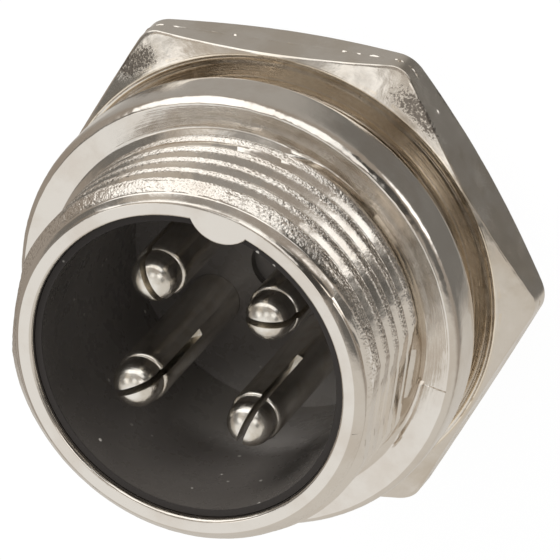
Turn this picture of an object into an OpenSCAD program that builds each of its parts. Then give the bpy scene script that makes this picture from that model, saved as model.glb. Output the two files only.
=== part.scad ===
// Four-contact circular panel plug connector, male.
// The origin is the centre of the flange's back face, where the panel sits.
// +Z points along the axis to the mating end, +Y points to the key.

/* [Shell] */
// Length from the flange's back face to the front rim
front_len = 7.55; // [6.5:0.05:12]
// Length of the rear barrel behind the flange
rear_len = 6.9; // [6.2:0.05:12]
// Step from the thread's crest in to the flat front rim, across the radius
rim_drop = 0.65; // [0.4:0.05:0.9]
// Length of the lead-in taper behind the rim
lead_len = 0.76; // [0.3:0.02:1.2]
// Wall of the front of the shell, from its bore to the thread's crest
front_wall = 1.27; // [1.05:0.01:1.6]
// Width of the small bevel inside the front rim
mouth_bevel = 0.12; // [0.05:0.01:0.2]
// Wall of the rear barrel, from its bore to the thread's crest
rear_wall = 1; // [0.8:0.02:1.1]
// Depth of the rear bore from the barrel's rear end
rear_bore_depth = 5.4; // [5.2:0.05:6]
// Bevel on the rear end of the barrel
end_bevel = 0.3; // [0.1:0.05:0.6]

/* [Thread] */
// Outside diameter of both threads
thread_d = 15.9; // [15.7:0.05:17]
// Distance from one thread groove to the next
pitch = 1; // [0.75:0.05:1.25]
// Depth of a thread groove
thread_depth = 0.42; // [0.2:0.02:0.45]
// Width of a thread groove at the crest
groove_w = 0.68; // [0.4:0.02:0.7]
// Width of a thread groove at the root
root_w = 0.12; // [0.05:0.01:0.25]
// Plain neck between the flange and the rear thread
neck_len = 1.2; // [0.6:0.05:1.6]
// Depth of the flat left on the thread at each side of the mould
flat_depth = 0.3; // [0.1:0.02:0.4]
// Turn of the mould's parting plane from the X axis, in degrees
parting_turn = 4; // [-20:1:20]

/* [Flange] */
// Diameter of the flange
flange_d = 19.16; // [18:0.02:24]
// Thickness of the flange
flange_t = 2.28; // [1.5:0.02:3]
// Width of the front bevel across the radius
flange_bevel_w = 0.3; // [0.1:0.02:0.6]
// Depth of the front bevel along the axis
flange_bevel_h = 0.34; // [0.1:0.02:0.6]
// Bevel on the back edge of the flange
flange_back_bevel = 0.16; // [0.05:0.01:0.3]
// Radius step of the shoulder where the thread meets the flange
flange_foot_w = 0.3; // [0.1:0.02:0.5]
// Height of that shoulder
flange_foot_h = 0.22; // [0.1:0.02:0.4]

/* [Key] */
// Radius of the half-round key rib
key_r = 1.47; // [1:0.01:1.6]
// Height of the rib's crest above the bore
key_height = 0.73; // [0.5:0.01:1]

/* [Insulator] */
// Wall of the moulded cup inside the bore
cup_wall = 0.28; // [0.2:0.02:0.5]
// How far the cup's edge lies below the rim
cup_recess = 0.3; // [0.2:0.02:1]
// Length of the insulator's base behind the shell's inner shoulder
base_seat_len = 4; // [3:0.05:4.3]
// Thickness of the insulator's base under the cup's floor
base_t = 3.01; // [2.2:0.01:3.6]
// Radius of the round recess in the middle of the floor
gate_r = 1.25; // [0.6:0.05:1.3]
// Depth of that recess
gate_depth = 0.4; // [0.1:0.05:0.8]

/* [Contacts] */
// Diameter of a contact pin
pin_d = 2.2; // [1.6:0.05:2.3]
// Step from the pin's side in to its domed tip, across the radius
tip_step = 0.12; // [0.05:0.01:0.2]
// Length of that narrower tip
tip_len = 1.28; // [1.2:0.02:2]
// Diameter of the circle that the pins stand on
pin_circle_d = 7.06; // [6.6:0.02:7.4]
// Turn of the pins from the diagonals, in degrees
pin_turn = 2.7; // [-5:0.1:5]
// Depth of the pin tips below the rim
tip_recess = 1.07; // [0.8:0.01:2.5]
// Width of the slot that splits a pin
slot_w = 0.28; // [0.2:0.01:0.4]
// Length of that slot from the tip
slot_len = 5.1; // [3:0.1:6]
// Outside diameter of a solder cup
cup_d = 2.5; // [2.3:0.05:2.8]
// Bore of a solder cup
cup_bore_d = 1.7; // [1.2:0.05:1.8]
// Length of a solder cup
cup_len = 5.4; // [4:0.1:7]
// Depth of the bore in a solder cup
cup_bore_depth = 3.6; // [3:0.1:3.8]
// Length of the side of a solder cup that is cut away
cup_open_len = 1.6; // [1:0.1:2]

/* [Hex nut] */
// Width of the nut across its flats
nut_af = 19.55; // [18.5:0.05:24]
// Thickness of the nut
nut_t = 2.49; // [2:0.01:4]
// Gap between the flange and the nut, where the panel goes
panel_gap = 1.82; // [0.5:0.01:2.4]
// Slope of the nut's face bevels, in degrees
nut_bevel_angle = 23.7; // [15:0.1:30]
// Radius of the nut's rounded corners
nut_corner_r = 1.1; // [0.3:0.05:2]
// Turn of the nut on its thread, in degrees
nut_turn = 43.6; // [0:0.1:60]
// Countersink at each end of the nut's thread
nut_sink = 0.35; // [0.1:0.05:0.6]

/* [Retaining ring] */
// Thickness of the split ring behind the insulator
ring_t = 0.6; // [0.4:0.02:0.8]
// Depth of the groove that holds the ring
ring_groove = 0.24; // [0.1:0.02:0.26]
// Width of the ring across its radius
ring_w = 1.02; // [0.6:0.02:1.2]
// Width of the opening in the ring
ring_open = 3; // [1.5:0.1:5]

/* [Clearances] */
// Radial clearance of the insulator in the shell
seat_gap = 0.02; // [0.01:0.01:0.05]
// Radial clearance of a pin in the insulator
pin_gap = 0.01; // [0.01:0.01:0.03]
// Radial and axial clearance of the nut on its thread
thread_gap = 0.05; // [0.03:0.01:0.08]
// Clearance of the cup around the key rib
key_gap = 0.05; // [0.02:0.01:0.15]

/* [Hidden] */
$fn = 96;
// Smallest overlap that makes a cut pass through a face
cut = 0.5;
thread_r = thread_d / 2;
root_r = thread_r - thread_depth;
bore_r = thread_r - front_wall;
rear_bore_r = thread_r - rear_wall;
shoulder_z = rear_bore_depth - rear_len;
flange_r = flange_d / 2;
foot_z = flange_t + flange_foot_h;
// Axial distance from a groove's middle to its edge
groove_half = groove_w / 2;
root_half = root_w / 2;
// Width of the crest between two grooves, at full depth
land = pitch - groove_w;
front_thread_top = front_len - lead_len;
// Middle heights of the grooves, front and rear
front_grooves = [
    for (z = foot_z + land / 2 + groove_half; z + groove_half < front_thread_top; z = z + pitch) z
];
rear_grooves = [
    for (z = -neck_len - groove_half; z - groove_half > end_bevel - rear_len; z = z - pitch) z
];
base_z = shoulder_z - base_seat_len;
floor_z = base_z + base_t;
cup_outer_r = bore_r - seat_gap;
cup_inner_r = cup_outer_r - cup_wall;
key_y = bore_r - key_height + key_r;
pin_r = pin_d / 2;
tip_r = pin_r - tip_step;
tip_z = front_len - tip_recess;
nut_front_z = -panel_gap;
nut_back_z = nut_front_z - nut_t;
nut_bore_r = thread_r + thread_gap;
ring_outer_r = rear_bore_r + ring_groove - seat_gap;
// Slot directions of the four pins, in degrees from +X
slot_turns = [13.3, 129.9, 38.1, 80.1];

// Profile of one groove as radius and height, from its top edge to its bottom edge
function groove_points(z, r, depth, half, root) = [
    [r, z + half],
    [r - depth, z + root],
    [r - depth, z - root],
    [r, z - half]
];

function front_thread_points() = [
    for (i = [len(front_grooves) - 1:-1:0])
        each groove_points(front_grooves[i], thread_r, thread_depth, groove_half, root_half)
];

function rear_thread_points() = [
    for (z = rear_grooves)
        each groove_points(z, thread_r, thread_depth, groove_half, root_half)
];

// Outside of the shell from the rim down to the barrel's rear end
function shell_points() = concat(
    [[0, front_len], [thread_r - rim_drop, front_len], [thread_r, front_thread_top]],
    front_thread_points(),
    [
        [thread_r, foot_z],
        [thread_r + flange_foot_w, flange_t],
        [flange_r - flange_bevel_w, flange_t],
        [flange_r, flange_t - flange_bevel_h],
        [flange_r, flange_back_bevel],
        [flange_r - flange_back_bevel, 0],
        [thread_r, 0]
    ],
    rear_thread_points(),
    [
        [thread_r, end_bevel - rear_len],
        [thread_r - end_bevel, -rear_len],
        [0, -rear_len]
    ]
);

module shell_bores() {
    translate([0, 0, shoulder_z - cut])
        cylinder(r = bore_r, h = front_len - shoulder_z + 2 * cut);
    translate([0, 0, -rear_len - cut])
        cylinder(r = rear_bore_r, h = rear_bore_depth + cut);
    translate([0, 0, front_len - mouth_bevel])
        cylinder(r1 = bore_r, r2 = bore_r + 2 * mouth_bevel, h = 2 * mouth_bevel);
    translate([0, 0, base_z - ring_t - seat_gap])
        cylinder(r = rear_bore_r + ring_groove, h = ring_t + seat_gap);
}

// The two flats where the halves of the mould met, on the front thread only
module parting_flats() {
    for (side = [0, 180])
        rotate([0, 0, parting_turn + side])
            translate([thread_r - flat_depth, -thread_r, foot_z])
                cube([thread_depth + cut, thread_d, front_len - foot_z + cut]);
}

module key_rib() {
    intersection() {
        translate([0, key_y, shoulder_z])
            cylinder(r = key_r, h = front_len - shoulder_z);
        translate([0, 0, shoulder_z])
            cylinder(r = (bore_r + root_r) / 2, h = front_len - shoulder_z);
    }
}

module shell() {
    color([0.80, 0.78, 0.75]) {
        difference() {
            rotate_extrude() polygon(shell_points());
            shell_bores();
            parting_flats();
        }
        key_rib();
    }
}

module at_pin(i) {
    rotate([0, 0, 45 + pin_turn + 90 * i])
        translate([pin_circle_d / 2, 0, 0])
            children();
}

module insulator() {
    color([0.07, 0.07, 0.07])
        difference() {
            union() {
                translate([0, 0, base_z])
                    cylinder(r = cup_outer_r, h = front_len - cup_recess - base_z);
                translate([0, 0, base_z])
                    cylinder(r = rear_bore_r - seat_gap, h = base_seat_len);
            }
            translate([0, 0, floor_z])
                cylinder(r = cup_inner_r, h = front_len - floor_z);
            translate([0, 0, floor_z - gate_depth])
                cylinder(r = gate_r, h = gate_depth + cut);
            translate([0, key_y, shoulder_z])
                cylinder(r = key_r + key_gap, h = front_len - shoulder_z + cut);
            for (i = [0:3])
                at_pin(i)
                    translate([0, 0, base_z - cut])
                        cylinder(r = pin_r + pin_gap, h = base_t + 2 * cut);
        }
}

// A turned pin with a stepped, domed and split tip and a solder cup opened away from the axis
module contact(i) {
    color([0.84, 0.81, 0.76])
        at_pin(i)
            difference() {
                union() {
                    translate([0, 0, base_z - cut])
                        cylinder(r = pin_r, h = tip_z - tip_len - base_z + cut);
                    translate([0, 0, tip_z - tip_len - cut])
                        cylinder(r = tip_r, h = tip_len - tip_r + cut);
                    translate([0, 0, tip_z - tip_r])
                        sphere(r = tip_r);
                    translate([0, 0, base_z - cup_len])
                        cylinder(d = cup_d, h = cup_len);
                }
                rotate([0, 0, slot_turns[i] - 45 - pin_turn - 90 * i])
                    translate([-pin_d, -slot_w / 2, tip_z - slot_len])
                        cube([2 * pin_d, slot_w, slot_len + cut]);
                translate([0, 0, base_z - cup_len - cut])
                    cylinder(d = cup_bore_d, h = cup_bore_depth + cut);
                translate([0, -cup_d, base_z - cup_len - cut])
                    cube([cup_d, 2 * cup_d, cup_open_len + cut]);
            }
}

module pin_1() { contact(0); }

module pin_2() { contact(1); }

module pin_3() { contact(2); }

module pin_4() { contact(3); }

module retaining_ring() {
    color([0.62, 0.61, 0.59])
        translate([0, 0, base_z - ring_t])
            difference() {
                cylinder(r = ring_outer_r, h = ring_t);
                translate([0, 0, -cut])
                    cylinder(r = ring_outer_r - ring_w, h = ring_t + 2 * cut);
                translate([-ring_open / 2, -2 * ring_outer_r, -cut])
                    cube([ring_open, 2 * ring_outer_r, ring_t + 2 * cut]);
            }
}

// Hexagon with true round corners: its straight sides and a circle at each corner
module nut_outline() {
    corner = (nut_af / 2 - nut_corner_r) / cos(30);
    side = corner / 2;
    rotate([0, 0, nut_turn]) {
        polygon([
            for (k = [0:5])
                for (s = [-side, side])
                    [
                        nut_af / 2 * cos(60 * k) - s * sin(60 * k),
                        nut_af / 2 * sin(60 * k) + s * cos(60 * k)
                    ]
        ]);
        for (k = [0:5])
            rotate([0, 0, 30 + 60 * k])
                translate([corner, 0])
                    circle(r = nut_corner_r);
    }
}

// Both faces of the nut, bevelled from a circle as wide as its flats
module nut_bevels() {
    face_r = nut_af / 2;
    corner_r = face_r / cos(30);
    drop = (corner_r - face_r) * tan(nut_bevel_angle);
    rotate_extrude()
        polygon([
            [0, nut_front_z],
            [face_r, nut_front_z],
            [corner_r, nut_front_z - drop],
            [corner_r, nut_back_z + drop],
            [face_r, nut_back_z],
            [0, nut_back_z]
        ]);
}

// Ridges of the nut's thread that stand in the barrel's grooves
function nut_grooves() = [
    for (z = rear_grooves)
        if (z + groove_half < nut_front_z - nut_sink && z - groove_half > nut_back_z + nut_sink) z
];

function nut_bore_points() = concat(
    [
        [0, nut_front_z + cut],
        [nut_bore_r + nut_sink + cut, nut_front_z + cut],
        [nut_bore_r, nut_front_z - nut_sink]
    ],
    [
        for (z = nut_grooves())
            each groove_points(z, nut_bore_r, thread_depth, groove_half - thread_gap, root_half / 2)
    ],
    [
        [nut_bore_r, nut_back_z + nut_sink],
        [nut_bore_r + nut_sink + cut, nut_back_z - cut],
        [0, nut_back_z - cut]
    ]
);

module hex_nut() {
    color([0.78, 0.76, 0.73])
        difference() {
            intersection() {
                translate([0, 0, nut_back_z])
                    linear_extrude(height = nut_t) nut_outline();
                nut_bevels();
            }
            rotate_extrude() polygon(nut_bore_points());
        }
}

shell();
insulator();
pin_1();
pin_2();
pin_3();
pin_4();
retaining_ring();
hex_nut();
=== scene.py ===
import math

import bmesh
import bpy
from mathutils import Matrix, Vector, noise


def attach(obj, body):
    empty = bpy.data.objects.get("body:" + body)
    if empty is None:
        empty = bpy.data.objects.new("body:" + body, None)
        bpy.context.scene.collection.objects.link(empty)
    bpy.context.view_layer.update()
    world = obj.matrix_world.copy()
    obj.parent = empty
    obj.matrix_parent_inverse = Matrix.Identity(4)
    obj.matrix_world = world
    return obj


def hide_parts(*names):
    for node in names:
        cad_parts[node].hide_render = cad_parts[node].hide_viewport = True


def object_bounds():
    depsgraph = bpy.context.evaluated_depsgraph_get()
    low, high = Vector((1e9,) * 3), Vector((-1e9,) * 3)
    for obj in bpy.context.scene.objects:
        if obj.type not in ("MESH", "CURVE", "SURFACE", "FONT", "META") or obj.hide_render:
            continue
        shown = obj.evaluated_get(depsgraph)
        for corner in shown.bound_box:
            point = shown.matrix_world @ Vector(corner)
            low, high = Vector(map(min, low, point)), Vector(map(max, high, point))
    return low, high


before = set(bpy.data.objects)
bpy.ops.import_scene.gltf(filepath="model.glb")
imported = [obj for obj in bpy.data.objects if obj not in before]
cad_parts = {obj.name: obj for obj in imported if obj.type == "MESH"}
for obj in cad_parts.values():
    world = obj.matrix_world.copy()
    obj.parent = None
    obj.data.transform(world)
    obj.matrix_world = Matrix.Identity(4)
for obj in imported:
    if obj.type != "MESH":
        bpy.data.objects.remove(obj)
cad_box = [list(corner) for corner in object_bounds()]

# Shell
# One zinc die casting with bright nickel plate: the threaded front barrel, the flange that
# stops at the panel, and the threaded rear barrel. The front thread and the flats at its
# parting plane are as cast, so their tops are sandy, and the rim and the flange are smoother.
mm = 0.001
# Sizes are in millimetres, and turns in degrees.
front_len = 7.55
rear_len = 6.9
crest_r = 7.95
rim_outer_r = 7.3
taper_start = 6.79
bore_r = 6.68
rear_bore_r = 6.95
shoulder_z = -1.5
ring_seat_top = -5.5
ring_seat_bottom = -6.12
ring_seat_r = 7.19
key_r = 1.47
key_centre = 7.42

pitch = 1.0
thread_depth = 0.42
groove_half = 0.34
root_half = 0.06
first_groove_z = 5.875
groove_wide = 0.82
lead_turn = 60
lead_shift = 0.2
lead_depth = 0.15
last_turn_z = (3.6, 3.45)
shallow_start = (75, 105)
shallow_end = (190, 160)
shallow_share = 0.45
sand_end_z = 6.825
seam_depth = 0.03
seam_half = 0.05
parting_turn = 4.0
flat_r = 7.65
flat_reach = 40

flange_r = 9.58
flange_t = 2.28
foot_top = 2.5
foot_slope = 0.733
run_out_r = 8.13
run_out_half = 0.19
run_out_depth = 0.34
run_out_deeper = 0.16
run_out_end = (88, 74)
run_out_start = (335, 352)
crack_turn = 1.2
crack_depth = 0.09
crack_wander = 0.35
neck_len = 1.2


def clamp(value, low=0.0, high=1.0):
    return max(low, min(high, value))


def smooth(value, start, end):
    """Goes smoothly from 0 at start to 1 at end."""
    t = clamp((value - start) / (end - start))
    return t * t * (3 - 2 * t)


def soft_clamp(t, soft=0.12):
    """Clamps t to 0 and 1 with rounded ends."""

    def ramp(x):
        if x < -soft:
            return 0.0
        return x if x > soft else (x + soft) ** 2 / (4 * soft)

    return ramp(t) - ramp(t - 1)


def grain(point, size, seed=0.0):
    """Lump of cast metal at a point, from -1 to 1, for lumps of one size in millimetres."""
    return noise.noise(Vector(point) / size + Vector((seed, 2 * seed, -seed)))


def at_turn(turn, r, z):
    """Point at a turn in degrees, a radius and a height."""
    a = math.radians(turn)
    return r * math.cos(a), r * math.sin(a), z


def past(turn, middle):
    """How many degrees a turn lies past another, from -180 to 180."""
    return (turn - middle + 180) % 360 - 180


def turned_mesh(name, turns, rows):
    """Mesh of rows that run round the axis: rows[i](turn) gives radius and height there.
    The last row joins the first, and points that meet are merged."""
    points = []
    for row in rows:
        for turn in turns:
            points.append([number * mm for number in at_turn(turn, *row(turn))])
    columns = len(turns)
    faces = []
    for i in range(len(rows)):
        here = i * columns
        there = (i + 1) % len(rows) * columns
        for j in range(columns - 1):
            faces.append((here + j, there + j, there + j + 1, here + j + 1))
    mesh = bpy.data.meshes.new(name)
    mesh.from_pydata(points, [], faces)
    bm = bmesh.new()
    bm.from_mesh(mesh)
    bmesh.ops.remove_doubles(bm, verts=bm.verts, dist=2e-7)
    bmesh.ops.dissolve_degenerate(bm, edges=bm.edges, dist=1e-7)
    bmesh.ops.recalc_face_normals(bm, faces=bm.faces)
    bm.to_mesh(mesh)
    bm.free()
    return mesh


def place(name, mesh, sharp_angle=35):
    """Puts a mesh in the scene, smooth apart from its sharp edges."""
    mesh.shade_smooth()
    mesh.set_sharp_from_angle(angle=math.radians(sharp_angle))
    piece = bpy.data.objects.new(name, mesh)
    bpy.context.scene.collection.objects.link(piece)
    return piece


def key_wall(turn):
    """Radius of the front bore, which the half-round key rib narrows at the top."""
    off = math.radians(abs(past(turn, 90)))
    side = key_centre * math.sin(off)
    if off > math.pi / 2 or side >= key_r:
        return bore_r
    return min(bore_r, key_centre * math.cos(off) - math.sqrt(key_r * key_r - side * side))


def flat_limit(turn):
    """Radius of the flats that the mould's parting plane leaves on the front thread."""
    limit = math.inf
    for side in (0, 180):
        off = past(turn, parting_turn + side)
        if abs(off) < flat_reach:
            limit = flat_r / math.cos(math.radians(off))
    return limit


def blank_r(z):
    """Radius of the front barrel before its thread, tapered towards the rim."""
    return crest_r - (crest_r - rim_outer_r) * clamp((z - taper_start) / (front_len - taper_start))


def groove_cut(turn, level, blank):
    """How far the nearest groove cuts in, from 0 to 1, and its depth. The first groove leads in
    over the taper, narrower and shallower, and so is a stretch of the last turn."""
    middle = first_groove_z + pitch * min(1, round((level - first_groove_z) / pitch))
    depth = thread_depth - (crest_r - blank)
    if middle > first_groove_z:
        lead = smooth(turn, 0, lead_turn)
        off = abs(level - middle - lead_shift * lead)
        wide = groove_wide * (1 - 0.5 * lead)
        edge_depth = lead_depth * smooth(blank, rim_outer_r, rim_outer_r + 0.1)
        depth += (edge_depth - depth) * lead
    else:
        off = abs(level - middle)
        share = shallow_share * smooth(middle + pitch * turn / 360, *last_turn_z)
        shallow = 1 - share * smooth(turn, *shallow_start) * smooth(turn, *shallow_end)
        wide = groove_wide * shallow
        depth *= shallow
    cut = soft_clamp((groove_half * wide - off) / ((groove_half - root_half) * wide), 0.2)
    return cut, max(0.0, depth)


def front_r(turn, z):
    """Radius of the threaded front barrel, with its flats, its cast skin and the fine seam
    where the sandy crest ends."""
    blank = blank_r(z)
    level = z - pitch * turn / 360
    cut, depth = groove_cut(turn, level, blank)
    r = blank - depth * cut
    r -= seam_depth * smooth(turn, 50, 90) * clamp(1 - abs(level - sand_end_z) / seam_half)
    spot = at_turn(turn, crest_r, z)
    skin = 0.006 * grain(spot, 0.16, 3) + 0.010 * grain(spot, 0.5, 7)
    wear_and_painted_light = 1 - 0.75 * smooth(z, taper_start, front_len)
    r += skin * wear_and_painted_light * (1 - 0.6 * cut)
    flat = flat_limit(turn)
    if flat < r:
        r = flat + 0.004 * grain(spot, 0.7, 11)
    return r


def run_out(turn):
    """How far the last turn of the thread bites into the flange's foot, from 0 to 1."""
    t = turn % 360
    return smooth(t, *run_out_end) if t < 180 else smooth(t, *run_out_start)


def foot_z(turn, r):
    """Height of the foot between the thread and the flange's face."""
    cone = max(flange_t, foot_top - (r - crest_r) * foot_slope)
    bite = run_out(turn)
    if bite <= 0:
        return cone
    depth = run_out_depth + run_out_deeper * smooth(turn % 360, 80, 50)
    channel = flange_t - depth * soft_clamp((run_out_half - abs(r - run_out_r)) / 0.11)
    return cone + (channel - cone) * bite


def face_skin(turn, r):
    """Lumps of the flange's cast front face."""
    spot = at_turn(turn, r, 0)
    return 0.006 * grain(spot, 0.9, 5) + 0.0035 * grain(spot, 0.3, 9)


key_corner = math.degrees(
    math.acos((bore_r**2 + key_centre**2 - key_r**2) / (2 * bore_r * key_centre))
)
even_turns = {round(k * 0.75, 4) for k in range(481)}
shell_turns = sorted(
    even_turns
    | {round(90 + s * (key_corner + d), 4) for s in (-1, 1) for d in (-0.3, -0.12, 0.0, 0.12)}
    | {round(90 + k * 0.5, 4) for k in range(-19, 20)}
    | {round(crack_turn + d, 4) for d in (-0.5, -0.22, -0.1, 0.1, 0.22, 0.5)}
)
shell_rows = []


def plain_row(r, z):
    """Row at one radius and height all the way round."""
    shell_rows.append(lambda turn: (r, z))


def thread_rows():
    """Rows that climb with the thread, dense at the edges of its grooves."""
    steps = (-0.5, -0.4, -0.33, -0.285, -0.24, -0.14, -0.05, 0, 0.05, 0.14, 0.24, 0.285, 0.33, 0.4)
    top = front_len - 0.04
    heights = [
        first_groove_z + pitch * k + pitch * s for k in range(1, -6, -1) for s in reversed(steps)
    ]

    def row_at(height):
        def row(turn):
            z = clamp(height + pitch * turn / 360, foot_top, top)
            return front_r(turn, z), z

        return row

    for height in heights:
        shell_rows.append(row_at(height))


def foot_row(r):
    """Row on the foot, with the thread's run-out."""
    shell_rows.append(lambda turn: (r, foot_z(turn, r)))


def face_row(r):
    """Row on the flange's front face, with the crack at the mould's parting plane."""

    def row(turn):
        on_face = smooth(r, 8.3, 8.5) * smooth(r, 9.28, 9.15)
        off = past(turn, crack_turn)
        wander = crack_wander * grain((r, 0, 0), 0.25, 21)
        crack = 0.0
        if abs(off) < 0.6:
            open_share = 1 - smooth(abs(off - 0.4 * wander), 0.04, 0.24)
            crack = crack_depth * open_share * smooth(r, 8.45, 8.6)
        return r, flange_t + on_face * face_skin(turn, r) - crack * smooth(r, 9.5, 9.2)

    shell_rows.append(row)


def edge_row(r, z, rough):
    """Row on the flange's bevelled edges, which are lumpy where the plate has pooled."""

    def row(turn):
        spot = at_turn(turn, flange_r, z)
        lump = rough * (0.010 * grain(spot, 0.22, 13) + 0.008 * grain(spot, 0.7, 15))
        return r + lump, z + 0.6 * lump

    shell_rows.append(row)


def wall_row(r, z, rough=0.0):
    """Row on the front bore's wall, with the key rib and the beads of plate at its mouth."""

    def row(turn):
        bead = rough * grain(at_turn(turn, bore_r, z), 0.24, 17)
        return key_wall(turn) + (r - bore_r) + bead, z + bead

    shell_rows.append(row)


thread_rows()
for foot in (7.97, 8.0, 8.04, 8.09, 8.14, 8.19, 8.24, 8.29, 8.34):
    foot_row(foot)
for face in (8.42, 8.52, 8.62, 8.72, 8.82, 8.92, 9.02, 9.12, 9.2, 9.25):
    face_row(face)
for inwards, down, rough in (
    (0.295, 0.008, 0.3),
    (0.265, 0.03, 0.8),
    (0.2, 0.095, 1),
    (0.14, 0.16, 1),
    (0.09, 0.23, 1),
    (0.05, 0.31, 1),
    (0.025, 0.4, 0.8),
    (0.01, 0.52, 0.6),
    (0.002, 0.68, 0.3),
    (0, 0.88, 0.2),
):
    edge_row(flange_r - inwards, flange_t - down, rough)
for inwards, up, rough in (
    (0, 1.0, 0.2),
    (0, 0.6, 0.2),
    (0.005, 0.4, 0.3),
    (0.02, 0.28, 0.4),
    (0.05, 0.18, 0.5),
    (0.1, 0.09, 0.5),
    (0.16, 0.03, 0.3),
    (0.23, 0, 0),
):
    edge_row(flange_r - inwards, up, rough)
for r, z in (
    (8.8, 0),
    (8.2, 0),
    (crest_r + 0.08, -0.02),
    (crest_r + 0.01, -0.08),
    (crest_r, -0.2),
    (crest_r, -neck_len),
):
    plain_row(r, z)
rear_middles = [-neck_len - groove_half - pitch * k for k in range(5)]
for middle in rear_middles:
    for r, z in (
        (crest_r, middle + groove_half + 0.02),
        (crest_r - 0.03, middle + groove_half - 0.03),
        (crest_r - thread_depth + 0.02, middle + root_half + 0.02),
        (crest_r - thread_depth, middle),
        (crest_r - thread_depth + 0.02, middle - root_half - 0.02),
        (crest_r - 0.03, middle - groove_half + 0.03),
        (crest_r, middle - groove_half - 0.02),
    ):
        plain_row(r, z)
for r, z in (
    (crest_r, 0.34 - rear_len),
    (crest_r - 0.02, 0.28 - rear_len),
    (crest_r - 0.28, 0.02 - rear_len),
    (crest_r - 0.32, -rear_len),
    (rear_bore_r + 0.04, -rear_len),
    (rear_bore_r, 0.04 - rear_len),
    (rear_bore_r, ring_seat_bottom),
    (ring_seat_r, ring_seat_bottom),
    (ring_seat_r, ring_seat_top),
    (rear_bore_r, ring_seat_top),
    (rear_bore_r, shoulder_z),
):
    plain_row(r, z)
for r, z, rough in (
    (bore_r, shoulder_z, 0),
    (bore_r, 1.0, 0),
    (bore_r, 4.0, 0),
    (bore_r, 6.6, 0),
    (bore_r, front_len - 0.2, 0),
    (bore_r + 0.012, front_len - 0.14, 0.008),
    (bore_r + 0.05, front_len - 0.065, 0.016),
    (bore_r + 0.10, front_len - 0.02, 0.012),
    (bore_r + 0.16, front_len, 0),
    (bore_r + 0.32, front_len, 0),
):
    wall_row(r, z, rough)
for inwards, down in ((0.15, 0), (0.06, 0), (0.015, 0.012), (-0.005, 0.03)):
    plain_row(rim_outer_r - inwards, front_len - down)

shell_mesh = turned_mesh("shell_casting", shell_turns, shell_rows)


def paint(mesh, name, rule):
    """Writes a number on each point of a mesh, which a finish then reads."""
    layer = mesh.attributes.new(name=name, type="FLOAT", domain="POINT")
    layer.data.foreach_set("value", [rule(v.co / mm) for v in mesh.vertices])


def sandy(p):
    """Where the shell's skin is sandy: the crests of the front thread and its foot."""
    r = math.hypot(p.x, p.y)
    if p.z < foot_top - 0.05 or r < 7.5:
        return 0.0
    turn = math.degrees(math.atan2(p.y, p.x))
    on_flat = smooth(flat_limit(turn) + 0.02 - r, 0.06, 0.0)
    level = p.z - pitch * (turn % 360) / 360
    off = abs(level - first_groove_z - pitch * round((level - first_groove_z) / pitch))
    edge = groove_half * groove_wide
    on_top = level > first_groove_z + pitch / 2
    crest = 1.0 if on_top else smooth(off, edge - 0.03, edge + 0.01)
    crest *= smooth(level, sand_end_z + 0.03, sand_end_z - 0.03)
    upper = smooth(turn, 4, 14) if turn > -90 else smooth(turn, -150, -165)
    return crest * (1 - 0.85 * on_flat) * (0.15 + 0.85 * upper)


def rounded(p):
    """Where the sandy crests lean outwards from wear: everywhere below the taper."""
    return sandy(p) * smooth(p.z, taper_start + 0.04, taper_start - 0.02)


def faced(p):
    """Where the flange's front face is."""
    r = math.hypot(p.x, p.y)
    return 1.0 if abs(p.z - flange_t) < 0.05 and 8.33 < r < 9.27 else 0.0


paint(shell_mesh, "sandy", sandy)
paint(shell_mesh, "rounded", rounded)
paint(shell_mesh, "faced", faced)


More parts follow.
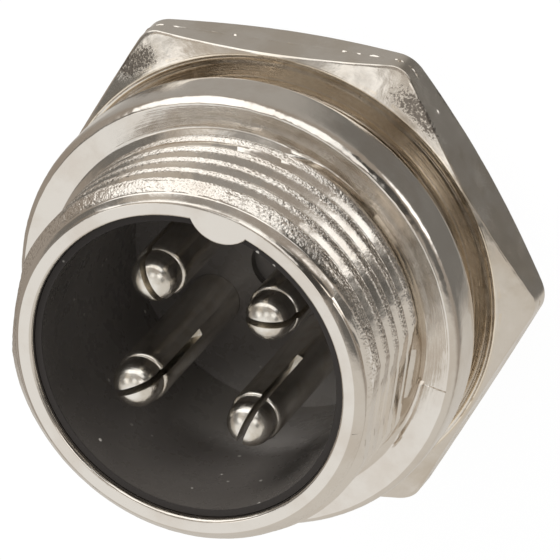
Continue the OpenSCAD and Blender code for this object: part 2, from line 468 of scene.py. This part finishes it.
class Finish:
    """Node material, with short ways to make the nodes that these finishes share."""

    def __init__(self, name):
        self.material = bpy.data.materials.new(name)
        self.material.use_nodes = True
        self.nodes = self.material.node_tree.nodes
        self.links = self.material.node_tree.links
        self.shader = self.nodes["Principled BSDF"]
        self.spot = self.node("ShaderNodeTexCoord").outputs["Object"]

    def node(self, kind, **settings):
        """Adds a node with some of its settings."""
        made = self.nodes.new(kind)
        for key, value in settings.items():
            setattr(made, key, value)
        return made

    def feed(self, socket, value):
        """Links a socket to a value that varies, or sets it to a plain one."""
        if isinstance(value, bpy.types.NodeSocket):
            self.links.new(value, socket)
        else:
            socket.default_value = value

    def lumps(self, size, detail=2.0, rough=0.5):
        """Noise whose lumps are about size millimetres across."""
        made = self.node("ShaderNodeTexNoise")
        self.feed(made.inputs["Vector"], self.spot)
        made.inputs["Scale"].default_value = 1 / (size * mm)
        made.inputs["Detail"].default_value = detail
        made.inputs["Roughness"].default_value = rough
        return made.outputs["Fac"]

    def span(self, value, a, b, c=0.0, d=1.0):
        """Maps a..b to c..d, held at the ends."""
        made = self.node("ShaderNodeMapRange", interpolation_type="SMOOTHSTEP")
        self.feed(made.inputs["Value"], value)
        for name, number in (("From Min", a), ("From Max", b), ("To Min", c), ("To Max", d)):
            self.feed(made.inputs[name], number)
        return made.outputs["Result"]

    def maths(self, operation, a, b=0.0):
        made = self.node("ShaderNodeMath", operation=operation)
        self.feed(made.inputs[0], a)
        self.feed(made.inputs[1], b)
        return made.outputs["Value"]

    def times(self, a, b):
        return self.maths("MULTIPLY", a, b)

    def between(self, share, a, b):
        """Mixes two colours by share."""
        made = self.node("ShaderNodeMix", data_type="RGBA")
        self.feed(made.inputs["Factor"], share)
        self.feed(made.inputs["A"], a)
        self.feed(made.inputs["B"], b)
        return made.outputs["Result"]

    def point(self, name):
        """Number that paint() wrote on the mesh's points."""
        return self.node("ShaderNodeAttribute", attribute_name=name).outputs["Fac"]

    def bump(self, height, depth, strength=1.0, under=None):
        """Bump of a height from 0 to 1 that stands depth millimetres high."""
        made = self.node("ShaderNodeBump")
        self.feed(made.inputs["Height"], height)
        made.inputs["Distance"].default_value = depth * mm
        self.feed(made.inputs["Strength"], strength)
        if under is not None:
            self.feed(made.inputs["Normal"], under)
        return made.outputs["Normal"]

    def set(self, **sockets):
        """Feeds the shader's own sockets."""
        for name, value in sockets.items():
            self.feed(self.shader.inputs[name.replace("_", " ")], value)


def sides_of(finish):
    """The object's own X, Y and Z, in metres."""
    split = finish.node("ShaderNodeSeparateXYZ")
    finish.feed(split.inputs["Vector"], finish.spot)
    return split.outputs["X"], split.outputs["Y"], split.outputs["Z"]


def tool_marks(finish, scale):
    """Noise that varies only with the distance from the axis, as turning and polishing leave."""
    x, y, _ = sides_of(finish)
    marks = finish.node("ShaderNodeTexNoise", noise_dimensions="1D")
    radius = finish.maths("SQRT", finish.maths("ADD", finish.times(x, x), finish.times(y, y)))
    finish.feed(marks.inputs["W"], radius)
    marks.inputs["Scale"].default_value = scale
    marks.inputs["Detail"].default_value = 2
    return marks.outputs["Fac"]


def nickel_plate(name, bright, dull, smoothness, skin):
    """Bright nickel over a casting: slow waves, fine orange peel and faint dull patches."""
    finish = Finish(name)
    clouds = finish.lumps(2.6, 4, 0.6)
    peel = finish.lumps(0.34, 3, 0.55)
    colour = finish.between(finish.span(clouds, 0.42, 0.68), bright, dull)
    roughness = finish.span(finish.lumps(1.1, 4, 0.65), 0.35, 0.7, smoothness, smoothness * 2.1)
    normal = finish.bump(peel, 0.006 * skin)
    normal = finish.bump(finish.lumps(1.7, 2, 0.5), 0.02 * skin, under=normal)
    finish.set(Metallic=1.0)
    return finish, colour, roughness, normal


bright_nickel = (0.81, 0.77, 0.715, 1)
dull_nickel = (0.75, 0.695, 0.63, 1)
sand_shade = (0.42, 0.37, 0.32, 1)
shell_finish, colour, roughness, normal = nickel_plate(
    "nickel_shell", bright_nickel, dull_nickel, 0.10, 1.0
)
sand = shell_finish.lumps(0.105, 1, 0.5)
sand_coarse = shell_finish.lumps(0.24, 1, 0.5)
sandy_share = shell_finish.point("sandy")
faced_share = shell_finish.point("faced")
face_marks = tool_marks(shell_finish, 14000)
shade = shell_finish.times(sandy_share, shell_finish.span(sand, 0.36, 0.5, 0.5, 0.0))
colour = shell_finish.between(shade, colour, sand_shade)
sand_matt = shell_finish.times(sandy_share, shell_finish.span(sand, 0.3, 0.7, 0.02, 0.12))
roughness = shell_finish.maths("ADD", roughness, sand_matt)
worn_slope = shell_finish.times(sides_of(shell_finish)[2], -0.72 / mm)
normal = shell_finish.bump(worn_slope, 1.0, shell_finish.point("rounded"), normal)
normal = shell_finish.bump(sand, 0.022, sandy_share, normal)
normal = shell_finish.bump(sand_coarse, 0.03, sandy_share, normal)
normal = shell_finish.bump(face_marks, 0.004, shell_finish.times(faced_share, 0.6), normal)
shell_finish.set(Base_Color=colour, Roughness=roughness, Normal=normal)
shell = place("shell_casting", shell_mesh)
shell.data.materials.append(shell_finish.material)
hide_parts("shell")
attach(shell, "connector")

# Insulator
# A black thermoplastic cup, moulded in one piece with its base. It lines the front bore, and its
# base carries the pins. The moulding is glossy, with faint flow marks and a little dust. Painted
# light greys it towards its foot and on one side near its floor, and painted shade darkens its lip.
black = (0.075, 0.067, 0.060, 1)
flow_black = (0.105, 0.095, 0.086, 1)
# Painted light: a lighter grey towards the cup's foot.
painted_light_foot_grey = (0.18, 0.163, 0.15, 1)
# Painted light: a lighter grey on one side near the cup's floor.
painted_light_grey = (0.55, 0.52, 0.49, 1)
# Painted shade: a darker black at the cup's lip.
painted_shade_lip_black = (0.042, 0.037, 0.034, 1)
dust_grey = (0.6, 0.57, 0.52, 1)
black_finish = Finish("black_moulding")
flow = black_finish.lumps(3.2, 3, 0.6)
dust = black_finish.node("ShaderNodeTexVoronoi", feature="F1")
black_finish.feed(dust.inputs["Vector"], black_finish.spot)
dust.inputs["Scale"].default_value = 1300
specks = black_finish.span(dust.outputs["Distance"], 0.07, 0.13, 1.0, 0.0)
specks = black_finish.times(specks, black_finish.span(black_finish.lumps(2.2, 1), 0.5, 0.56))
x, y, z = sides_of(black_finish)
# Masks of the painted shade at the lip and of the painted light deep in the cup and on one low side.
on_lip = black_finish.span(z, 7.15 * mm, 7.24 * mm)
painted_light_deep = black_finish.span(z, 6.2 * mm, 1.5 * mm)
low = black_finish.span(z, 2.4 * mm, 0.6 * mm)
across = black_finish.maths("SUBTRACT", black_finish.times(x, 0.6), black_finish.times(y, 0.8))
wear_and_painted_light = black_finish.times(low, black_finish.span(across, 3.0 * mm, 6.0 * mm))
colour = black_finish.between(flow, black, flow_black)
for share, tint in ((painted_light_deep, painted_light_foot_grey), (wear_and_painted_light, painted_light_grey), (on_lip, painted_shade_lip_black), (specks, dust_grey)):
    colour = black_finish.between(share, colour, tint)
gloss = black_finish.span(black_finish.lumps(0.9, 4, 0.6), 0.3, 0.75, 0.22, 0.42)
peel = black_finish.bump(black_finish.lumps(0.12, 2), 0.003)
black_finish.set(
    Base_Color=colour,
    Roughness=black_finish.maths("MAXIMUM", gloss, on_lip),
    Normal=black_finish.bump(flow, 0.02, under=peel),
)
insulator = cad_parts["insulator"]
insulator.data.materials.clear()
insulator.data.materials.append(black_finish.material)

# Contact pins
# Four pins turned from brass bar and nickel plated, pressed into the insulator's base. Each has
# a domed tip split by a sawn slot, and a solder cup at the back with one side cut away.
pin_r = 1.1
tip_r = 0.98
tip_len = 1.28
dome_height = 0.78
pin_circle_r = 3.53
pin_turn = 47.7
tip_z = 6.48
slot_w = 0.28
slot_len = 5.1
slot_turns = (13.3, 129.9, 38.1, 80.1)
floor_z = -2.49
base_z = -5.5
cup_r = 1.25
cup_bore_r = 0.85
cup_len = 5.4
cup_bore_depth = 3.6
cup_open_len = 1.6


def lathe(name, profile, sides):
    """Closed mesh of a profile of radius and height turned round its own axis."""
    made = bmesh.new()
    rings = []
    for r, z in profile:
        if r < 1e-6:
            rings.append([made.verts.new((0, 0, z * mm))])
            continue
        rings.append(
            [
                made.verts.new((r * mm * math.cos(a), r * mm * math.sin(a), z * mm))
                for a in (2 * math.pi * k / sides for k in range(sides))
            ]
        )
    for low, high in zip(rings, rings[1:]):
        for k in range(sides):
            n = (k + 1) % sides
            if len(low) == 1:
                made.faces.new((low[0], high[n], high[k]))
            elif len(high) == 1:
                made.faces.new((low[k], low[n], high[0]))
            else:
                made.faces.new((low[k], low[n], high[n], high[k]))
    mesh = bpy.data.meshes.new(name)
    made.to_mesh(mesh)
    made.free()
    return mesh


def block(name, low, high):
    """Box between two corners, for cutting."""
    made = bmesh.new()
    bmesh.ops.create_cube(made, size=1)
    for v in made.verts:
        v.co = Vector([(l if c < 0 else h) * mm for c, l, h in zip(v.co, low, high)])
    mesh = bpy.data.meshes.new(name)
    made.to_mesh(mesh)
    made.free()
    return mesh


def keep_shape(piece):
    """Makes what a piece's modifiers do its own mesh."""
    bpy.context.view_layer.update()
    shape = bpy.data.meshes.new_from_object(
        piece.evaluated_get(bpy.context.evaluated_depsgraph_get())
    )
    piece.modifiers.clear()
    piece.data = shape


def cut_away(piece, cutters):
    """Cuts the cutters' shapes out of a piece and deletes them."""
    for cutter in cutters:
        carve = piece.modifiers.new("carve", "BOOLEAN")
        carve.operation = "DIFFERENCE"
        carve.solver = "EXACT"
        carve.object = cutter
    keep_shape(piece)
    for cutter in cutters:
        bpy.data.objects.remove(cutter)


def contact_profile():
    """Radius and height of a pin from the bottom of its solder cup's bore to its tip."""
    low = base_z - cup_len
    points = [(0, low + cup_bore_depth), (cup_bore_r, low + cup_bore_depth)]
    points += [(cup_bore_r, low + 0.03), (cup_bore_r + 0.03, low), (cup_r - 0.05, low)]
    points += [(cup_r, low + 0.05), (cup_r, base_z - 0.06), (cup_r - 0.06, base_z)]
    points += [(pin_r, base_z), (pin_r, floor_z)]
    step = tip_z - tip_len
    centre = tip_z - dome_height
    points += [(pin_r, floor_z + 1.5), (pin_r, step - 2.5), (pin_r, step - 1), (pin_r, step - 0.11)]
    points += [(pin_r - 0.006, step - 0.09), (tip_r + 0.03, step - 0.006), (tip_r + 0.015, step)]
    points += [(tip_r, step + 0.015), (tip_r, centre)]
    for k in range(1, 28):
        a = math.pi / 2 * k / 28
        points.append((tip_r * math.cos(a), centre + dome_height * math.sin(a)))
    points.append((0, tip_z))
    return points


bright_pin = (0.86, 0.83, 0.77, 1)
dull_pin = (0.74, 0.68, 0.59, 1)
pin_finish = Finish("nickel_contact")
turned_lines = pin_finish.node("ShaderNodeTexWave", wave_type="BANDS", bands_direction="Z")
pin_finish.feed(turned_lines.inputs["Vector"], pin_finish.spot)
turned_lines.inputs["Scale"].default_value = 3200
turned_lines.inputs["Distortion"].default_value = 1.5
pin_clouds = pin_finish.span(pin_finish.lumps(0.7, 4, 0.6), 0.45, 0.75)
pin_waves = pin_finish.bump(pin_finish.lumps(0.6, 1, 0.5), 0.005)
pin_finish.set(
    Metallic=1.0,
    Base_Color=pin_finish.between(pin_clouds, bright_pin, dull_pin),
    Roughness=pin_finish.span(pin_finish.lumps(0.5, 3), 0.3, 0.7, 0.19, 0.27),
    Normal=pin_finish.bump(turned_lines.outputs["Fac"], 0.0012, under=pin_waves),
)
cup_end = base_z - cup_len
for number in range(4):
    turn = pin_turn + 90 * number
    name = "contact_pin_%d" % (number + 1)
    pin = bpy.data.objects.new(name, lathe(name, contact_profile(), 96))
    slot = bpy.data.objects.new(
        "slot", block("slot", (-2, -slot_w / 2, tip_z - slot_len), (2, slot_w / 2, tip_z + 1))
    )
    slot.rotation_euler.z = math.radians(slot_turns[number])
    opened = bpy.data.objects.new(
        "opened", block("opened", (0, -2, cup_end - 1), (2, 2, cup_end + cup_open_len))
    )
    opened.rotation_euler.z = math.radians(turn)
    for item in (pin, slot, opened):
        bpy.context.scene.collection.objects.link(item)
    cut_away(pin, [slot, opened])
    ease = pin.modifiers.new("ease", "BEVEL")
    ease.width = 0.022 * mm
    ease.segments = 2
    ease.limit_method = "ANGLE"
    ease.angle_limit = math.radians(50)
    keep_shape(pin)
    pin.data.transform(Matrix.Translation(Vector(at_turn(turn, pin_circle_r, 0)) * mm))
    pin.data.shade_smooth()
    pin.data.set_sharp_from_angle(angle=math.radians(38))
    pin.data.materials.clear()
    pin.data.materials.append(pin_finish.material)
    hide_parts("pin_%d" % (number + 1))
    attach(pin, "connector")

# Retaining ring
# A split ring of spring steel wire, pressed flat, which snaps into the groove of the rear bore
# and holds the insulator against the shell's inner shoulder.
dark_steel = (0.56, 0.55, 0.53, 1)
pale_steel = (0.66, 0.65, 0.63, 1)
steel_finish = Finish("spring_steel")
scuffs = steel_finish.lumps(0.25, 4, 0.7)
steel_finish.set(
    Metallic=1.0,
    Base_Color=steel_finish.between(scuffs, dark_steel, pale_steel),
    Roughness=steel_finish.span(scuffs, 0.3, 0.7, 0.22, 0.42),
    Normal=steel_finish.bump(steel_finish.lumps(0.1, 3), 0.006),
)
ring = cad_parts["retaining_ring"]
ring.data.materials.clear()
ring.data.materials.append(steel_finish.material)

# Hex nut
# A zinc casting with bright nickel plate, bevelled on both faces from a circle nearly as wide as
# its flats. A fine broken line runs round its sides where the mould parted, and two corners are
# sandy, with painted shade in dark dots there. Its front face has painted reflection in fine tan
# rings. It turns on the shell's rear barrel.
nut_half = 9.775
nut_front = -1.82
nut_t = 2.49
nut_turn = 43.6
nut_corner_r = 1.1
nut_bore_r = 8.0
nut_sink = 0.35
nut_slope = math.tan(math.radians(23.7))
bevel_inset = 0.12
edge_round = 0.05
rough_corners = ((139, 7.5), (65, 11))
cos_30 = math.cos(math.radians(30))
corner_centre = (nut_half - nut_corner_r) / cos_30
nut_back = nut_front - nut_t
nut_middle = (nut_front + nut_back) / 2


def hex_r(turn):
    """Radius of the hexagon with its round corners."""
    off = (turn - nut_turn) % 60 - 30
    a = math.radians(abs(off))
    tangent = math.atan2(nut_corner_r * 0.5, corner_centre + nut_corner_r * cos_30)
    if a < tangent:
        reach = nut_corner_r**2 - (corner_centre * math.sin(a)) ** 2
        return corner_centre * math.cos(a) + math.sqrt(reach)
    return nut_half / math.cos(math.radians(30) - a)


nut_rows = []


def nut_row(r, z):
    """Row at one radius and height all the way round."""
    nut_rows.append(lambda turn: (r, z))


def nut_skin(turn, r, z, much):
    """Lumps of the nut's cast skin."""
    spot = at_turn(turn, r, z)
    return much * (0.012 * grain(spot, 0.8, 31) + 0.006 * grain(spot, 0.28, 33))


def bevel_row(share, face, sign):
    """Row of a face's bevel, from the face's circle at share 0 to the hexagon's edge at 1."""

    def row(turn):
        edge = hex_r(turn) - edge_round * share
        start = min(nut_half - bevel_inset, edge)
        r = start + (edge - start) * share
        corner = smooth(r, nut_half + 0.1, nut_half + 0.6)
        drop = (r - start) * nut_slope
        lump = nut_skin(turn, r, face, 0.4 + 1.6 * corner)
        return r, face + sign * (drop + 0.02 * share) + lump

    nut_rows.append(row)


def side_row(depth, face, sign, stand=0.0):
    """Row on the nut's side, from the edge of a face's bevel at depth 0 to the middle at 1.
    The line where the mould parted stands out in short stretches."""

    def row(turn):
        r = hex_r(turn)
        edge = face + sign * ((r - nut_half + bevel_inset) * nut_slope + edge_round)
        z = edge + (nut_middle - edge) * depth
        there = 0.35 if 70 < turn < 140 else -0.35
        rib = stand * (there + 1.6 * grain((turn, 0, 0), 1.7, 41))
        return r + nut_skin(turn, r, z, 0.55) + max(0.0, rib), z

    nut_rows.append(row)


face_radii = (nut_bore_r + nut_sink + 0.05, 8.6, 8.9, 9.2, 9.45, 9.6)
bevel_shares = (0, 0.08, 0.2, 0.35, 0.5, 0.65, 0.8, 0.92, 1)
side_depths = (0, 0.25, 0.6, 0.85, 0.95)
for r in face_radii:
    nut_row(r, nut_front)
for share in bevel_shares:
    bevel_row(share, nut_front, -1)
for depth in side_depths:
    side_row(depth, nut_front, -1)
side_row(1, nut_front, -1, 0.05)
for depth in reversed(side_depths):
    side_row(depth, nut_back, 1)
for share in reversed(bevel_shares):
    bevel_row(share, nut_back, 1)
for r in reversed(face_radii):
    nut_row(r, nut_back)
nut_row(nut_bore_r + nut_sink, nut_back + 0.02)
nut_row(nut_bore_r, nut_back + nut_sink)
for middle in (rear_middles[2], rear_middles[1]):
    for r, z in (
        (nut_bore_r, middle - groove_half + 0.05),
        (nut_bore_r - thread_depth, middle - root_half / 2),
        (nut_bore_r - thread_depth, middle + root_half / 2),
        (nut_bore_r, middle + groove_half - 0.05),
    ):
        nut_row(r, z)
nut_row(nut_bore_r, nut_front - nut_sink)
nut_row(nut_bore_r + nut_sink, nut_front - 0.02)

nut_turns = sorted(
    even_turns
    | {
        round((nut_turn + 30 + 60 * c + d) % 360, 4)
        for c in range(6)
        for d in (-2.87, -2.4, -1.9, -1.4, -0.9, -0.45, 0, 0.45, 0.9, 1.4, 1.9, 2.4, 2.87)
    }
)
nut_mesh = turned_mesh("hex_nut_casting", nut_turns, nut_rows)


def near_corner(p):
    """Where the nut's bevels are sandy and carry painted shade: at its two rough corners."""
    r = math.hypot(p.x, p.y)
    turn = math.degrees(math.atan2(p.y, p.x))
    near = max(smooth(abs(turn - middle), reach, 3) for middle, reach in rough_corners)
    on_bevel = smooth(abs(p.z - nut_middle), 0.7, 0.85)
    return near * smooth(r, nut_half - 0.05, nut_half + 0.3) * on_bevel


def on_front_face(p):
    """Where the nut's front face is, inside its bevel."""
    r = math.hypot(p.x, p.y)
    return 1.0 if p.z > nut_front - 0.05 and r < nut_half else 0.0


paint(nut_mesh, "sandy", near_corner)
paint(nut_mesh, "faced", on_front_face)
nut_nickel = (0.79, 0.745, 0.685, 1)
nut_dull_nickel = (0.71, 0.65, 0.57, 1)
painted_reflection_tan = (0.82, 0.71, 0.56, 1)
pit_shade = (0.26, 0.23, 0.20, 1)
nut_finish, colour, roughness, normal = nickel_plate(
    "nickel_nut", nut_nickel, nut_dull_nickel, 0.13, 1.2
)
sand = nut_finish.lumps(0.11, 3, 0.7)
sandy_share = nut_finish.point("sandy")
faced_share = nut_finish.point("faced")
face_marks = tool_marks(nut_finish, 5200)
# Painted reflection: fine tan rings on the nut's front face.
painted_reflection_rings = nut_finish.times(faced_share, nut_finish.span(face_marks, 0.35, 0.7))
colour = nut_finish.between(painted_reflection_rings, colour, painted_reflection_tan)
# Painted shade: dark dots among the sandy pits, thicker towards the two rough corners.
pits_and_shade_dots = nut_finish.maths("SUBTRACT", sand, nut_finish.times(sandy_share, 0.3))
pits_and_painted_shade = nut_finish.times(
    nut_finish.span(sandy_share, 0.0, 0.25), nut_finish.span(pits_and_shade_dots, 0.22, 0.34, 1.0, 0.0)
)
colour = nut_finish.between(pits_and_painted_shade, colour, pit_shade)
normal = nut_finish.bump(sand, 0.025, sandy_share, normal)
normal = nut_finish.bump(face_marks, 0.03, nut_finish.times(faced_share, 0.6), normal)
nut_finish.set(Base_Color=colour, Roughness=roughness, Normal=normal)
nut = place("hex_nut_casting", nut_mesh, 30)
nut.data.materials.append(nut_finish.material)
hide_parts("hex_nut")
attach(nut, "nut")

# Floor
# A plain pale sheet under the part, at the ends of its solder cups. It glows softly towards the
# camera, so that it looks white, and still keeps a little of the part's shadow.
floor_reach = 800
floor_gap = 0.02
glow_share = 0.9
floor_corners = ((-1, -1), (1, -1), (1, 1), (-1, 1))
floor_mesh = bpy.data.meshes.new("floor")
floor_mesh.from_pydata(
    [(x * floor_reach * mm, y * floor_reach * mm, 0) for x, y in floor_corners], [], [(0, 1, 2, 3)]
)
floor = bpy.data.objects.new("floor", floor_mesh)
floor.location.z = cad_box[0][2] - floor_gap * mm
bpy.context.scene.collection.objects.link(floor)
floor.visible_glossy = False
paper = bpy.data.materials.new("paper")
paper.use_nodes = True
tree = paper.node_tree
sheet = tree.nodes["Principled BSDF"]
sheet.inputs["Base Color"].default_value = (0.9, 0.9, 0.9, 1)
sheet.inputs["Roughness"].default_value = 0.9
sheet.inputs["Specular IOR Level"].default_value = 0.1
glow = tree.nodes.new("ShaderNodeEmission")
glow.inputs["Strength"].default_value = 1.05
seen = tree.nodes.new("ShaderNodeLightPath")
share = tree.nodes.new("ShaderNodeMath")
share.operation = "MULTIPLY"
share.inputs[1].default_value = glow_share
blend = tree.nodes.new("ShaderNodeMixShader")
tree.links.new(seen.outputs["Is Camera Ray"], share.inputs[0])
tree.links.new(share.outputs["Value"], blend.inputs["Fac"])
tree.links.new(sheet.outputs["BSDF"], blend.inputs[1])
tree.links.new(glow.outputs["Emission"], blend.inputs[2])
tree.links.new(blend.outputs["Shader"], tree.nodes["Material Output"].inputs["Surface"])
floor_mesh.materials.append(paper)

# Camera
# A long lens, far off, looks down on the mating end from the key's side. The part lies rolled
# over in its view, and stands a little off the lens's axis.
camera_far = 405.48
camera_right = 0.945
camera_up = 0.442
scene = bpy.context.scene
seat_right = Vector((0.9057, 0.1955, -0.3764)).normalized()
seat_back = Vector((0.2342, 0.5092, 0.8282)).normalized()
seat_up = seat_back.cross(seat_right).normalized()
seat_right = seat_up.cross(seat_back)
camera_data = bpy.data.cameras.new("camera")
camera_data.sensor_width = 36
camera_data.lens = 642.86
camera_data.clip_start = 0.01
camera_data.clip_end = 10
camera = bpy.data.objects.new("camera", camera_data)
camera_spot = (camera_right * seat_right + camera_up * seat_up + camera_far * seat_back) * mm
camera_tilt = Matrix((seat_right, seat_up, seat_back)).transposed().to_4x4()
camera.matrix_world = Matrix.Translation(camera_spot) @ camera_tilt
scene.collection.objects.link(camera)
scene.camera = camera

# Studio
# Two soft boxes above the part light the black cup. Bright metal shows only the room that it
# reflects, so the room is dim, with soft patches of light and shade. Each of them is placed by
# how far it lies to the right, up and towards the camera.
world = bpy.data.worlds.new("studio")
scene.world = world
world.use_nodes = True
tree = world.node_tree
tree.nodes.clear()
way = tree.nodes.new("ShaderNodeTexCoord").outputs["Generated"]


def towards(right, up, front):
    """Direction in the part's frame of one that is given as the camera sees it."""
    return (right * seat_right + up * seat_up + front * seat_back).normalized()


def patch(under, direction, inner, outer, colour, strength):
    """Lays a soft round patch over what is under it. It is whole up to the inner angle from
    its direction and gone at the outer one, in degrees."""
    dot = tree.nodes.new("ShaderNodeVectorMath")
    dot.operation = "DOT_PRODUCT"
    tree.links.new(way, dot.inputs[0])
    dot.inputs[1].default_value = towards(*direction)
    edge = tree.nodes.new("ShaderNodeMapRange")
    edge.interpolation_type = "SMOOTHSTEP"
    tree.links.new(dot.outputs["Value"], edge.inputs["Value"])
    edge.inputs["From Min"].default_value = math.cos(math.radians(outer))
    edge.inputs["From Max"].default_value = math.cos(math.radians(inner))
    mix = tree.nodes.new("ShaderNodeMix")
    mix.data_type = "RGBA"
    tree.links.new(edge.outputs["Result"], mix.inputs["Factor"])
    tree.links.new(under, mix.inputs["A"])
    mix.inputs["B"].default_value = [c * strength for c in colour] + [1]
    return mix.outputs["Result"]


dim_room = (0.36, 0.32, 0.28, 1)
tan = (1.0, 0.9, 0.78)
warm = (1.0, 0.95, 0.88)
white = (1.0, 0.99, 0.97)
walls = tree.nodes.new("ShaderNodeRGB")
walls.outputs["Color"].default_value = dim_room
room = walls.outputs["Color"]
for direction, inner, outer, colour, strength in (
    ((0, -1, 0.15), 50, 75, warm, 0.66),
    ((-0.62, -0.69, 0.37), 24, 45, white, 0.87),
    ((0.1, 0.75, -0.6), 30, 55, warm, 0.41),
    ((0.72, 0.42, -0.5), 25, 42, warm, 0.19),
    ((0.25, -0.2, -1), 29, 41, warm, 0.62),
    ((-0.60, 0.66, 0.45), 24, 33, white, 1.5),
    ((0.02, 0.60, 0.80), 12, 20, white, 1.4),
    ((-0.93, 0.08, 0.33), 18, 27, warm, 0.19),
    ((-0.55, 0.18, 0.81), 12, 20, warm, 0.34),
    ((-0.85, -0.09, 0.52), 7, 13, white, 1.3),
    ((-0.79, 0.20, 0.58), 9, 16, tan, 0.54),
    ((0.42, 0.28, 0.87), 14, 24, warm, 0.06),
    ((0.24, -0.45, 0.86), 6, 12, warm, 0.12),
    ((0.78, -0.15, 0.60), 12, 20, warm, 0.14),
    ((-0.43, -0.13, 0.90), 5, 11, white, 1.2),
    ((0.24, 0.30, 0.92), 4, 8, white, 1.2),
    ((0.14, 0.42, 0.90), 5, 9, white, 1.2),
    ((0.05, -0.19, 0.98), 8, 12, white, 1.4),
    ((0.89, 0.41, 0.16), 8, 20, white, 1.8),
):
    room = patch(room, direction, inner, outer, colour, strength)
light_path = tree.nodes.new("ShaderNodeLightPath")


def by_ray(ray, under, colour):
    """Shows one kind of ray a plain colour in place of what is under it."""
    mix = tree.nodes.new("ShaderNodeMix")
    mix.data_type = "RGBA"
    tree.links.new(light_path.outputs[ray], mix.inputs["Factor"])
    tree.links.new(under, mix.inputs["A"])
    mix.inputs["B"].default_value = colour
    return mix.outputs["Result"]


room = by_ray("Is Diffuse Ray", room, (0.62, 0.62, 0.62, 1))
room = by_ray("Is Camera Ray", room, (1, 1, 1, 1))
background = tree.nodes.new("ShaderNodeBackground")
tree.links.new(room, background.inputs["Color"])
output = tree.nodes.new("ShaderNodeOutputWorld")
tree.links.new(background.outputs["Background"], output.inputs["Surface"])
world.cycles.sampling_method = "NONE"


def soft_box(name, direction, distance, size, power):
    """Square lamp that points at the part. Metal doesn't reflect it."""
    data = bpy.data.lights.new(name, "AREA")
    data.shape = "SQUARE"
    data.size = size * mm
    data.energy = power
    lamp = bpy.data.objects.new(name, data)
    way_in = towards(*direction)
    aim = way_in.to_track_quat("Z", "Y").to_matrix().to_4x4()
    lamp.matrix_world = Matrix.Translation(way_in * (distance * mm)) @ aim
    scene.collection.objects.link(lamp)
    lamp.visible_glossy = False


soft_box("soft_box_left", (-0.47, 0.68, 0.56), 500, 300, 2.0)
soft_box("soft_box_right", (0.89, 0.41, 0.3), 500, 250, 0.5)

scene.view_settings.view_transform = "Standard"
